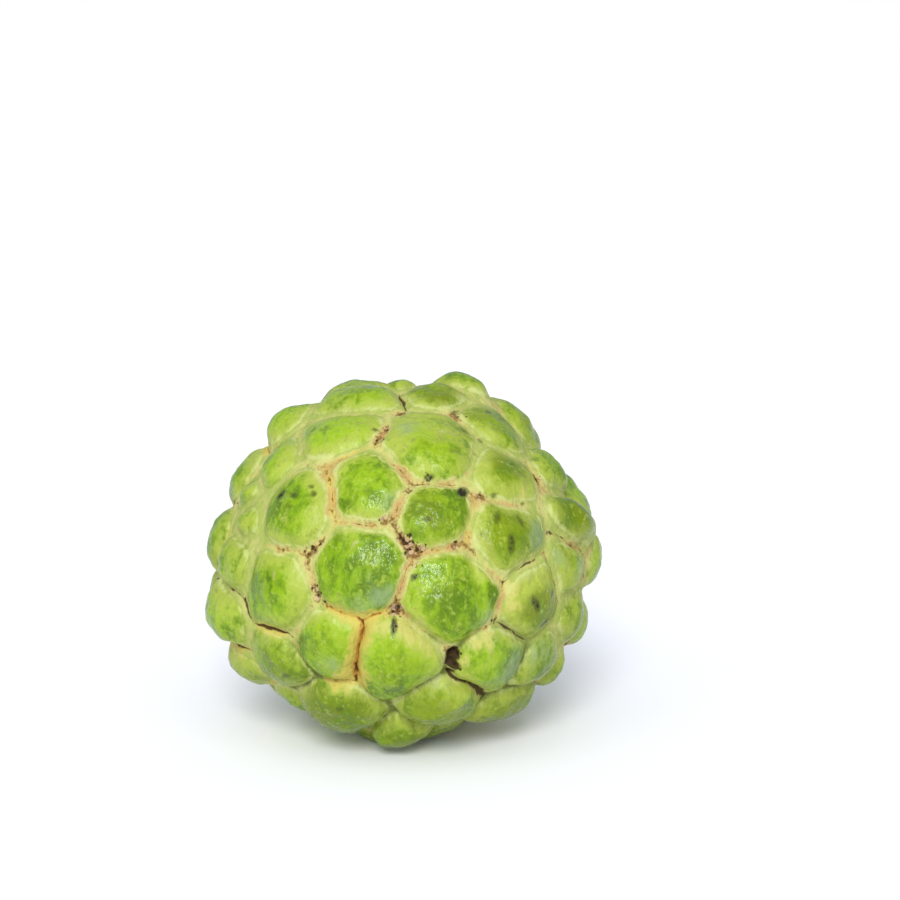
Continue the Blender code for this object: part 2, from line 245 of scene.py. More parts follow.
# Where a bluish bloom lies on the skin: right, above, reach, strength.
bloomSpots = [
    (-4.6, -7.4, 4, 0.9), (-9.8, -9.6, 3.4, 0.7), (17.2, -13.6, 4.6, 0.8), (28.4, 4.6, 5, 1),
    (30.5, 0.6, 3.5, 0.8), (21.5, -21.2, 4.8, 0.9), (-2.4, 12.4, 3.2, 0.8), (-21.8, 26.4, 4.2, 0.8),
    (0.4, 28, 3.6, 0.7), (-14, -20.6, 3.8, 0.6), (6, -24, 4.4, 0.6), (26.5, -18, 5, 0.7),
    (-28, -14, 4, 0.5),
]

# Where the skin is paler, partly its own tone and partly painted light, as on the knobs at the top: right,
# above, reach, strength.
paleAndLitSpots = [
    (-0.8, 33.1, 3.5, 0.9), (-2.8, 26, 3, 0.8), (4.5, 28, 6, 0.8), (-12, 26.4, 3, 0.4),
    (-23.2, 21.4, 3.5, 0.9), (-15.8, 21, 3.5, 1), (-18.1, 16.3, 3, 0.9), (-18.7, 10.2, 2.5, 0.7),
    (-26.2, 3.7, 3.5, 0.7), (-22.2, -5.1, 3, 0.5), (-24.2, -11.2, 3, 0.4), (-14, -11.2, 4.5, 0.6),
    (1.2, -12.2, 4, 1), (4.3, -16.3, 3, 0.8), (-7.9, -16.3, 3, 0.5), (8.3, -18.3, 2, 0.5),
    (17.5, 26.4, 3, 0.6), (4, 36, 4, 0.7), (22, 14.5, 3, 0.5), (-20.5, 5.8, 2.5, 0.5),
    (-30.5, 22, 4, 0.6), (15.5, 18.3, 3.5, 0.9), (26, 12.8, 3, 0.8), (13.4, 5.1, 3.5, 0.5),
    (15.5, -0.5, 2.5, 0.4), (15.2, -2.6, 2.2, 0.9), (3.3, 19.3, 2.5, 0.6), (-11.6, 6.1, 2, 0.7),
    (5.3, 1.6, 2.5, 0.5), (24, -5.5, 3.5, 1), (20.5, -9.5, 2.5, 0.9), (27.7, -3.5, 3, 0.6),
    (22.6, -14.2, 3, 0.5), (10.4, -25.4, 4, 0.7), (16.5, -20.3, 3, 0.5), (-15, -26.4, 3, 0.5),
    (-29.3, -19.3, 3, 0.5), (-34.4, -6.1, 3.5, 0.7),
]

# Where the skin beside a crease is worn to a dry cream: right, above, reach, strength.
wornSpots = [
    (14.6, -16.8, 1.8, 0.9), (16.6, -15.7, 2.2, 1), (5.4, -18.2, 1.6, 0.7), (-0.6, -12.4, 2.2, 1),
    (1.6, -14.6, 2.2, 1), (3.5, -16.6, 1.8, 0.8), (-6.5, -12.6, 2.2, 1), (-4.1, -13, 1.8, 0.9),
    (-12.4, -24.2, 2.4, 0.9), (-17.5, 18.3, 2.2, 0.9), (11.8, -20.6, 1.6, 0.8), (21.6, -6.2, 2, 1.1),
    (21.4, -9.4, 2, 1), (-24.4, 8.2, 1.8, 0.6), (13.6, 4.4, 1.6, 0.6), (24.4, 13, 2, 0.7),
]

# Where the green is deeper, partly its own tone and partly painted shade, as on the lower knobs and the
# shaded edges of some others: right, above, reach, strength.
deepAndShadedSpots = [
    (-25.5, 12, 3.8, -0.4), (-12, 12.2, 2.5, -0.5), (-2.8, 11.2, 2, -0.5),
    (-4.9, 21.4, 3, -0.4), (11.4, 15.3, 3.5, -0.8), (4.3, 10.2, 3, -0.6), (-18.6, 3, 2.5, -0.4),
    (-19.1, -7.1, 2, -0.4), (-7.9, -5.1, 3.5, -0.5), (-5.9, 2, 3.5, -0.5), (7.3, -11.2, 3.5, -0.5),
    (17.8, -7.5, 2.6, -0.8), (10.4, -5.1, 3, -0.4), (18.5, 3.1, 3, -0.3), (27.7, 3.1, 3.5, -0.6),
    (32.7, 8.1, 3.5, -0.6), (25.6, 19.9, 3, -0.5), (12.8, 27.5, 3.5, -0.7), (10.4, 32.5, 3, -0.6),
    (-26.8, -3.5, 2.5, -0.6), (-31.3, -13.2, 3.5, -0.3), (-19.7, -17.3, 3, -0.8),
    (-19.1, -23.4, 3, -0.7), (-2.8, -25.4, 4.5, -0.7), (30.7, -10.2, 3.5, -0.6),
    (26.4, -9.2, 2.9, -1), (20.5, 19.5, 3, -0.7), (-16.5, -31, 4, -0.5),
    (21.6, -21.4, 4, -0.5), (16.5, -33, 4, -0.7), (-14, -28.5, 4, -0.4),
    (-19.7, 26.4, 3, -0.5), (-29.9, 18.9, 2.5, -0.3), (-31.9, 2.6, 2, -0.4),
]

# Scabs and bruises on the knobs: right, above, length, width, turn in degrees, how dark.
darkSpecks = [
    (12.3, 14.5, 3, 1.9, 30, 1), (-25.4, 13.6, 2, 1.3, 60, 1), (21.9, 19.6, 1.5, 1, 0, 0.6),
    (21.2, 3.2, 3.8, 1.6, 80, 0.66), (18.8, 8.4, 2.4, 1.3, 60, 0.5), (23.6, 7.8, 2.8, 1.3, 110, 0.5),
    (16, 5.4, 2.4, 1.3, 130, 0.3), (26, -8.8, 3.6, 1.5, -55, 0.64), (27.8, -12.8, 2.3, 1.3, 30, 0.72),
    (-22.6, 13.4, 1.8, 0.9, -10, 0.75), (-18.8, 13.8, 1.4, 1, -40, 0.75),
    (-19.4, 15.4, 1, 0.8, 0, 0.65), (-23.2, 10.8, 1.9, 0.8, 0, 0.4), (4.8, 8.4, 1.4, 0.8, 0, 0.6),
    (2, -3.4, 1.5, 0.9, 30, 0.8), (5.2, 17.6, 1.6, 0.9, 10, 0.8), (-6.3, 28, 1, 0.7, 0, 0.8),
    (18.6, 13.6, 1, 0.6, 0, 0.7), (24.8, 11.8, 1, 0.7, 0, 0.7), (-2.3, -13.3, 2.4, 0.9, 85, 1),
    (-23.4, -22.4, 1.9, 1.1, 20, 0.6), (-21, -16.2, 2.5, 1.3, 80, 0.4),
    (-12.6, -28.6, 1.9, 1.3, 0, 0.4), (29.6, -6.6, 1.4, 0.9, 30, 0.7), (17.2, 30.2, 1.5, 1, 0, 0.6),
    (19.6, 28.8, 1.3, 0.8, 0, 0.5), (11, 32, 1.9, 1.1, 10, 0.7), (12.8, 27.4, 2.2, 1.6, 0, 0.4),
    (16.4, 25.6, 1.2, 0.8, 90, 0.5), (33.4, 17.4, 1.3, 1, 40, 0.7), (9.8, 22.4, 1.9, 1.3, 0, 0.3),
    (15, -5.8, 1.4, 1.9, 0, 0.4), (12.6, -14.6, 1.4, 0.8, 50, 0.4),
]


# How those spots lie in the skin.
spot = {
    "ragged": 0.7, "pitRagged": 0.35, "raggedSize": 1.6,  # how uneven the edges of the cork and its pits are
    "pitShare": 0.62,  # radius of the pit, as a share of its cork's
    "crumbHeight": 0.35, "crumbSize": 1.0,
    "scabDepth": 0.14,
    "scabEdge": (0.6, -0.4),  # distance from the edge of its oval where it starts and where it is complete
    "tornTan": 0.25,  # how tan the most torn creases are
    "tanUneven": 0.1, "tanUnevenSize": 9.0,
    "behind": (0.35, 0.0),  # cosines to the middle of the front between which the back's spots set in
    "tanPatchSize": 7.0, "crumbPatchSize": 3.5,  # of the cork round the back
    "tanShare": 0.15, "tanStrength": 2.4,  # how much of the back it covers, and how fully
    "crumbEdge": (0.2, 0.5),  # of the soft noise that makes the patches
    "tanReach": 1.6, "crumbReach": 0.8,  # how far they spread from a crease onto a knob
    "creaseFull": -0.3,  # distance onto a knob at which they are complete, which is in the crease
    "stalkTan": (7.5, 4.0), "stalkCrumbs": (6.0, 3.5),  # distance from the stalk's axis, from none to most
    "mostCrumbs": 0.9,
    "otherTone": (0.4, 0.5, 0.5),  # light, ripe and pale edge of the stalk's own place
    "leastTone": (0.2, 0.15, 0.2), "mostTone": (0.65, 0.7, 0.8),  # of the hidden knobs
}


def stalkAxis():
    lean = math.radians(fruit["stalkLean"])
    return Vector((0, math.cos(lean), math.sin(lean)))


def frontDirection(right, up):
    # from the fruit's middle to what a viewer at viewDistance sees at this place, measured on the upright
    # plane through the middle; a place outside the outline gives the outline's nearest point
    viewer = Vector((0, -fruit["viewDistance"], 0))
    ray = Vector((right, fruit["viewDistance"], up))
    reach = ray.length_squared * (fruit["viewDistance"] ** 2 - layout["radius"] ** 2)
    root = math.sqrt(max(viewer.dot(ray) ** 2 - reach, 0))
    seen = viewer + ray * ((-viewer.dot(ray) - root) / ray.length_squared)
    return Matrix.Rotation(-math.radians(fruit["frontLooksDown"]), 3, "X") @ seen.normalized()


def distanceTo(ways, right, up):
    # millimetres from each point of the skin to a place on the front
    return np.linalg.norm(ways - np.array(frontDirection(right, up)), axis=1) * layout["radius"]


def softSpots(ways, spots):
    # the strongest of several soft round spots at each point
    strongest = np.zeros(len(ways))
    for right, up, reach, strength in spots:
        strongest = np.maximum(strongest, strength * np.exp(-(distanceTo(ways, right, up) / reach) ** 2))
    return strongest


def ovalDistance(ways, right, up, length, width, turn):
    # signed millimetres to the edge of an oval on the front of the fruit
    middle = frontDirection(right, up)
    side = Vector((0, 0, 1)).cross(middle).normalized()
    rise = middle.cross(side)
    away = (ways - np.array(middle)) * layout["radius"]
    a, b = away @ np.array(side), away @ np.array(rise)
    turn = math.radians(turn)
    along = (a * math.cos(turn) + b * math.sin(turn)) / (length / 2)
    across = (b * math.cos(turn) - a * math.sin(turn)) / (width / 2)
    farSide = np.where(ways @ np.array(middle) < 0.5, 9, 0)  # keeps the oval off the far side of the fruit
    return (np.hypot(along, across) - 1) * min(length, width) / 2 + farSide


def ballRadius(ways):
    radius = 1 / np.linalg.norm(ways / [fruit["halfWidth"], fruit["halfDepth"], fruit["halfHeight"]], axis=1)
    for right, up, reach, rise in swellings:
        radius = radius + rise * np.exp(-(distanceTo(ways, right, up) / reach) ** 2)
    return radius


def hollowFloor():
    # from the ball's middle to the floor of the hollow that the stalk stands in
    return float(ballRadius(np.array([stalkAxis()]))[0]) - fruit["hollowDepth"]


def layOutKnobs():
    # the front knobs where they are, and a spiral of others over the rest of the ball
    middles = [stalkAxis()]  # the first place is the stalk's
    radii = [fruit["hollowFloorRadius"]]
    for right, up, across, _ in frontKnobs.values():
        middles.append(frontDirection(right, up))
        radii.append(across / 2)
    placed = len(middles)
    front = frontDirection(0, 0)
    toAxis = Vector((0, 0, 1)).rotation_difference(stalkAxis())
    turn = math.pi * (3 - math.sqrt(5))  # the golden angle, which spreads the places evenly
    count = layout["spiralPlaces"]
    grows = layout["shoulderKnobAcross"] - layout["tipKnobAcross"]
    for place in range(count):
        along = 1 - 2 * (place + 0.5) / count
        across = math.sqrt(1 - along ** 2)
        way = toAxis @ Vector((across * math.cos(turn * place), across * math.sin(turn * place), along))
        radius = (layout["tipKnobAcross"] + grows * (along + 1) / 2) / 2
        fits = all((way - m).length * layout["radius"] > layout["closest"] * (radius + r)
                   for m, r in zip(middles, radii))
        if fits and way.dot(front) < layout["spiralFrom"]:
            middles.append(way)
            radii.append(radius)
    middles, radii = np.array(middles), np.array(radii)
    reach = (radii[:, None] + radii[None, :]) / layout["radius"]
    for _ in range(layout["pushRounds"]):
        away = middles[:, None, :] - middles[None, :, :]
        distance = np.linalg.norm(away, axis=2)
        np.fill_diagonal(distance, 9)  # none pushes itself
        push = np.clip(reach * layout["roomBetween"] - distance, 0, None) * layout["pushShare"]
        step = (away / distance[:, :, None] * push[:, :, None]).sum(axis=1)
        middles[placed:] += step[placed:]
        middles /= np.linalg.norm(middles, axis=1, keepdims=True)
    return middles, radii


def creaseTables(middles, radii):
    # for each pair of neighbours: half the width of their crease, and how torn and rusty it is
    draw = np.random.default_rng(11)
    count = len(radii)
    halfway = middles[:, None, :] + middles[None, :, :]
    halfway /= np.linalg.norm(halfway, axis=2, keepdims=True) + 1e-9
    fromTip = np.degrees(np.arccos(np.clip(halfway @ -np.array(stalkAxis()), -1, 1)))
    towardShoulder = smoothStep(fromTip, crease["narrowUpTo"], crease["wideFrom"])
    width = crease["narrow"] + (crease["wide"] - crease["narrow"]) * towardShoulder
    vary = draw.uniform(*crease["varies"], (count, count))
    width *= (vary + vary.T) / 2
    torn = draw.uniform(0, 1, (count, count))
    torn = (np.triu(torn) + np.triu(torn, 1).T) * 2 * crease["mostTorn"] - crease["mostTorn"]
    torn = np.clip(torn, 0, crease["mostTorn"])  # so half of them aren't torn at all
    rust = np.triu(draw.uniform(*crease["rusty"], (count, count)))
    rust = np.clip(rust + np.triu(rust, 1).T, 0, 1)
    shown = len(knobNames)
    torn[:shown, :shown] = crease["otherTorn"]
    rust[:shown, :shown] = 0
    for (one, other), (tear, rusty) in tears.items():
        a, b = knobNames.index(one), knobNames.index(other)
        torn[a, b] = torn[b, a] = tear
        rust[a, b] = rust[b, a] = rusty
    return {"valley": width, "torn": torn, "rust": rust}


def knobField(ways, middles, radii, tables):
    # what the skin needs to know at each point, from its nearest knobs
    near = knob["nearest"]
    chord = np.sqrt(np.clip(2 - 2 * ways @ middles.T, 0, None)) * layout["radius"]
    beyond = chord - radii
    order = np.argpartition(beyond, near, axis=1)[:, :near]
    rows = np.arange(len(ways))[:, None]
    order = np.take_along_axis(order, np.argsort(beyond[rows, order], axis=1), axis=1)
    close = beyond[rows, order]
    own, following = order[:, 0], order[:, 1]
    line = (close[:, 1] - close[:, 0]) / 2  # millimetres to the middle of the crease
    k = knob["cornerRounding"]
    rounded = line - k / 2 * np.log(np.exp(-(close[:, 1:] - close[:, 1:2]) / k).sum(axis=1))
    total = np.zeros(len(ways))
    sums = {name: np.zeros(len(ways)) for name in tables}
    for i in range(near):
        for j in range(i + 1, near):
            further = close[:, i] + close[:, j] - close[:, 0] - close[:, 1]
            weight = np.exp(-further / crease["blend"])
            total += weight
            for name, table in tables.items():
                sums[name] += weight * table[order[:, i], order[:, j]]
    field = {name: values / total for name, values in sums.items()}
    field.update({
        "own": own, "following": following, "line": line, "rim": np.clip(rounded, 0, None),
        "fromMiddle": chord[np.arange(len(ways)), own],
        "openCrease": smoothStep(field["valley"], crease["shutUnder"], crease["openOver"])})
    return field


def settleOnCreases(ways, middles, radii):
    # slides the points nearest to a crease onto it, which keeps creases sharp
    tables = creaseTables(middles, radii)
    waver = crease["waver"] / layout["radius"]
    size = crease["waverSize"]
    fineSize = size * crease["fineWaverSize"]

    def wavered(places):
        at = places * layout["radius"]
        broad = np.stack([wobble(at, size, seed) for seed in (1, 2, 3)], axis=1) * waver * 2
        fine = np.stack([wobble(at, fineSize, seed) for seed in (4, 5, 6)], axis=1) * waver
        moved = places + broad + fine * crease["fineWaver"]
        return moved / np.linalg.norm(moved, axis=1, keepdims=True)

    for _ in range(2):
        field = knobField(wavered(ways), middles, radii, tables)
        across = middles[field["following"]] - middles[field["own"]]
        across /= np.linalg.norm(across, axis=1, keepdims=True)
        near = (field["line"] < crease["snapWithin"])[:, None]
        ways = ways + np.where(near, across * (field["line"] / layout["radius"])[:, None], 0)
        ways = ways / np.linalg.norm(ways, axis=1, keepdims=True)
    return ways, knobField(wavered(ways), middles, radii, tables)


def knobCharacters(radii):
    # the size that each knob's height follows, and how light, ripe and pale-edged it is
    draw = np.random.default_rng(7)
    shown = len(knobNames)
    sizes = radii * draw.uniform(*knob["unlike"], len(radii))
    sizes[0] = 0  # no knob stands where the stalk does
    sizes[1:shown] = [across / 2 * bulge for _, _, across, bulge in frontKnobs.values()]
    tones = draw.uniform(spot["leastTone"], spot["mostTone"], (len(radii), 3))
    tones[0] = spot["otherTone"]
    tones[1:shown] = [frontTones[name] for name in frontKnobs]
    return sizes, tones


def raiseKnobs(ways, middles, radii, sizes, field):
    # how far the knobs stand above the ball, in millimetres
    at = ways * layout["radius"]
    own, rim, valley = field["own"], field["rim"], field["valley"]
    size = sizes[own]
    inner = np.clip(rim - valley, 0, None)
    inward = inner / (inner + field["fromMiddle"] + 1e-6)  # 0 at a knob's edge, 1 at its middle
    step = knob["edgeStepTip"] + (knob["edgeStep"] - knob["edgeStepTip"]) * field["openCrease"]
    lip = size * step * smoothStep(rim, valley * knob["lipFrom"], valley + knob["lipReach"])
    dome = size * knob["domeRise"] * (1 - (1 - inward) ** knob["domeRoundness"])
    lumps = wobble(at, knob["lumpSize"], 8) * knob["lumpHeight"]
    dimples = wobble(at, knob["dimpleSize"], 9) * knob["dimpleHeight"]
    dimples += wobble(at, knob["dimpleSize"] * 2, 14) * knob["dimpleHeight"] * knob["wideDimples"]
    uneven = smoothStep(rim, valley, valley + knob["unevenFrom"]) * np.clip(size / knob["evenUnder"], 0, 1)
    tipward = (ways - middles[own]) @ -np.array(stalkAxis()) * layout["radius"] / radii[own]
    lean = knob["tipwardLean"] * tipward * np.sin(np.pi * inward)
    floor = crease["floorRise"] * smoothStep(rim, 0, np.maximum(valley, 0.3))
    return np.where(own == 0, 0, floor + lip + dome + uneven * (lumps + dimples) + lean)


def growSkin(ways, middles, radii):
    # the fruit's points, about its middle, and the numbers that its skin is coloured by
    ways, field = settleOnCreases(ways, middles, radii)
    sizes, tones = knobCharacters(radii)
    at = ways * layout["radius"]
    own, rim, valley, openCrease = field["own"], field["rim"], field["valley"], field["openCrease"]
    onKnob = rim - valley
    height = raiseKnobs(ways, middles, radii, sizes, field)

    crack = np.exp(-(field["line"] / crease["crackWidth"]) ** 2)
    crack *= smoothStep(field["torn"], *crease["cracks"])
    height -= crack * crease["crackDepth"]
    unevenFloor = (1 - smoothStep(rim, valley * 0.7, valley + 0.5)) * openCrease
    height += wobble(at, crease["roughnessSize"], 13) * crease["roughness"] * unevenFloor

    cork = np.zeros(len(ways))
    pit = np.zeros(len(ways))
    wander = wobble(at, spot["raggedSize"], 10)
    for right, up, radius, strength, deep in corkSpots:
        distance = distanceTo(ways, right, up)
        outside = (distance + wander * spot["ragged"]) / radius
        sunk = (distance + wander * spot["pitRagged"]) / (radius * spot["pitShare"])
        cork = np.maximum(cork, strength * np.exp(-outside ** 2))
        pit = np.maximum(pit, deep * np.exp(-sunk ** 2))
    crumbs = np.clip(cork, 0, 1) * (1 - smoothStep(rim, valley, valley + 1))
    height += wobble(at, spot["crumbSize"], 12) * spot["crumbHeight"] * crumbs - pit

    outside = np.clip(ovalDistance(ways, *knob["fold"]) + knob["foldSlope"], 0, None)
    fold = np.exp(-(outside / knob["foldSlope"]) ** 2) * (own == knobNames.index(knob["foldedOne"]))
    height -= knob["foldDepth"] * fold

    scab = np.zeros(len(ways))
    for right, up, length, width, turn, dark in darkSpecks:
        outside = ovalDistance(ways, right, up, length, width, turn)
        scab = np.maximum(scab, dark * smoothStep(outside, *spot["scabEdge"]))
    height -= spot["scabDepth"] * scab

    # the tan and the crumbs in the creases go on round the back, and down into the hollow round the stalk
    warm = spot["tornTan"] * field["torn"] + spot["tanUneven"] * wobble(at, spot["tanUnevenSize"], 15)
    warm = np.maximum(warm, softSpots(ways, warmSpots))
    hidden = smoothStep(ways @ np.array(frontDirection(0, 0)), *spot["behind"])
    patches = np.clip(wobble(at, spot["tanPatchSize"], 16) + spot["tanShare"], 0, 1)
    warm = np.maximum(warm, hidden * np.minimum(spot["tanStrength"] * patches, 1))
    warm *= smoothStep(onKnob, spot["tanReach"], spot["creaseFull"])
    patches = smoothStep(wobble(at, spot["crumbPatchSize"], 17), *spot["crumbEdge"])
    cork = np.maximum(cork, hidden * patches * smoothStep(onKnob, spot["crumbReach"], spot["creaseFull"]))
    cosine = ways @ np.array(stalkAxis())
    floorHeight = hollowFloor()
    fromAxis = np.where(cosine > 0, np.sqrt(np.clip(1 - cosine ** 2, 0, None)) * floorHeight, 99)
    warm = np.maximum(warm, smoothStep(fromAxis, *spot["stalkTan"]))
    cork = np.maximum(cork, spot["mostCrumbs"] * smoothStep(fromAxis, *spot["stalkCrumbs"]))

    worn = softSpots(ways, wornSpots)
    # shade is lighter along the fold's pale line and at the pale spots, and darker at the deep ones; the
    # spots hold painted light and shade as well as the skin's own tones
    shade = knob["foldPaleness"] * fold
    for right, up, spread, strength in paleAndLitSpots + deepAndShadedSpots:
        shade = shade + strength * np.exp(-(distanceTo(ways, right, up) / spread) ** 2)
    paleReach = knob["paleEdge"] + tones[own, 2] * knob["paleEdgeShare"] * radii[own]

    reach = ballRadius(ways) + height
    ease = smoothStep(fromAxis, fruit["hollowFloorRadius"], fruit["hollowRimRadius"])
    level = floorHeight / np.clip(cosine, 0.5, 1)  # the hollow's floor is flat across the stalk
    reach = np.where(cosine > 0.5, level + (reach - level) * ease, reach)
    looks = {
        "onKnob": onKnob,  # mm inside a knob's edge; less than 0 in the crease
        "creaseLine": field["line"],  # mm from the middle of the crease
        "torn": field["torn"],
        "rust": field["rust"],
        "cork": cork,
        "pit": np.clip(pit, 0, 1),
        "speck": scab,
        "bloom": softSpots(ways, bloomSpots),
        "warm": warm,
        "worn": worn,
        "light": tones[own, 0],
        "ripe": tones[own, 1],
        "paleEdge": np.clip(1 - onKnob / paleReach, 0, 1.3),  # 1 at a knob's edge, 0 in its green middle
        "openCrease": np.maximum(openCrease, worn),
        "edgeLine": np.exp(-((onKnob - knob["edgeLineIn"]) / knob["edgeLineWidth"]) ** 2),
        "shade": np.clip(shade, -1, 1),
    }
    return ways * reach[:, None], looks


def buildFruit(material):
    bm = bmesh.new()
    bmesh.ops.create_cube(bm, size=2)
    bmesh.ops.subdivide_edges(bm, edges=bm.edges[:], cuts=fruit["gridCuts"], use_grid_fill=True)
    mesh = bpy.data.meshes.new("fruitSkin")
    bm.to_mesh(mesh)
    bm.free()
    count = len(mesh.vertices)
    cube = np.empty(count * 3)
    mesh.vertices.foreach_get("co", cube)
    cube = cube.reshape(-1, 3)
    unwrapCube(mesh, cube)
    ways = np.tan(cube * math.pi / 4)  # spaces the grid evenly once it is round
    ways /= np.linalg.norm(ways, axis=1, keepdims=True)
    points, looks = growSkin(ways, *layOutKnobs())

    middle = np.array(fruit["middle"])
    points = points + middle
    under = fruit["pressedUnder"]
    pressed = points[:, 2] < under  # the lowest knobs, on which the fruit lies
    points[pressed, 2] = under * np.exp((points[pressed, 2] - under) / under)
    mesh.vertices.foreach_set("co", (points * mm).ravel())
    for name, values in looks.items():
        mesh.attributes.new(name, "FLOAT", "POINT").data.foreach_set("value", values.astype(np.float32))
    mesh.materials.append(material)
    mesh.shade_smooth()
    made = bpy.data.objects.new("fruitSkin", mesh)
    scene.collection.objects.link(made)
    return made, middle


def unwrapCube(mesh, cube):
    # each side of the cube takes one sixth of the map
    loops = np.empty(len(mesh.loops), np.int32)
    mesh.loops.foreach_get("vertex_index", loops)
    corners = cube[loops].reshape(-1, 4, 3)
    middles = corners.mean(axis=1)
    axis = np.abs(middles).argmax(axis=1)
    positive = middles[np.arange(len(middles)), axis] > 0
    tile = axis * 2 + positive
    first = np.array([1, 2, 0])[axis]
    second = np.array([2, 0, 1])[axis]
    rows = np.arange(len(middles))[:, None]
    u = corners[rows, np.arange(4)[None, :], first[:, None]]
    v = corners[rows, np.arange(4)[None, :], second[:, None]]
    u = np.where(positive[:, None], u, -u)
    margin = 0.012  # of a side, left free round it
    u = ((u + 1) / 2 * (1 - 2 * margin) + margin + (tile % 3)[:, None]) / 3
    v = ((v + 1) / 2 * (1 - 2 * margin) + margin + (tile // 3)[:, None]) / 2
    layer = mesh.uv_layers.new(name="OFBake")
    layer.data.foreach_set("uv", np.stack([u, v], axis=2).ravel().astype(np.float32))


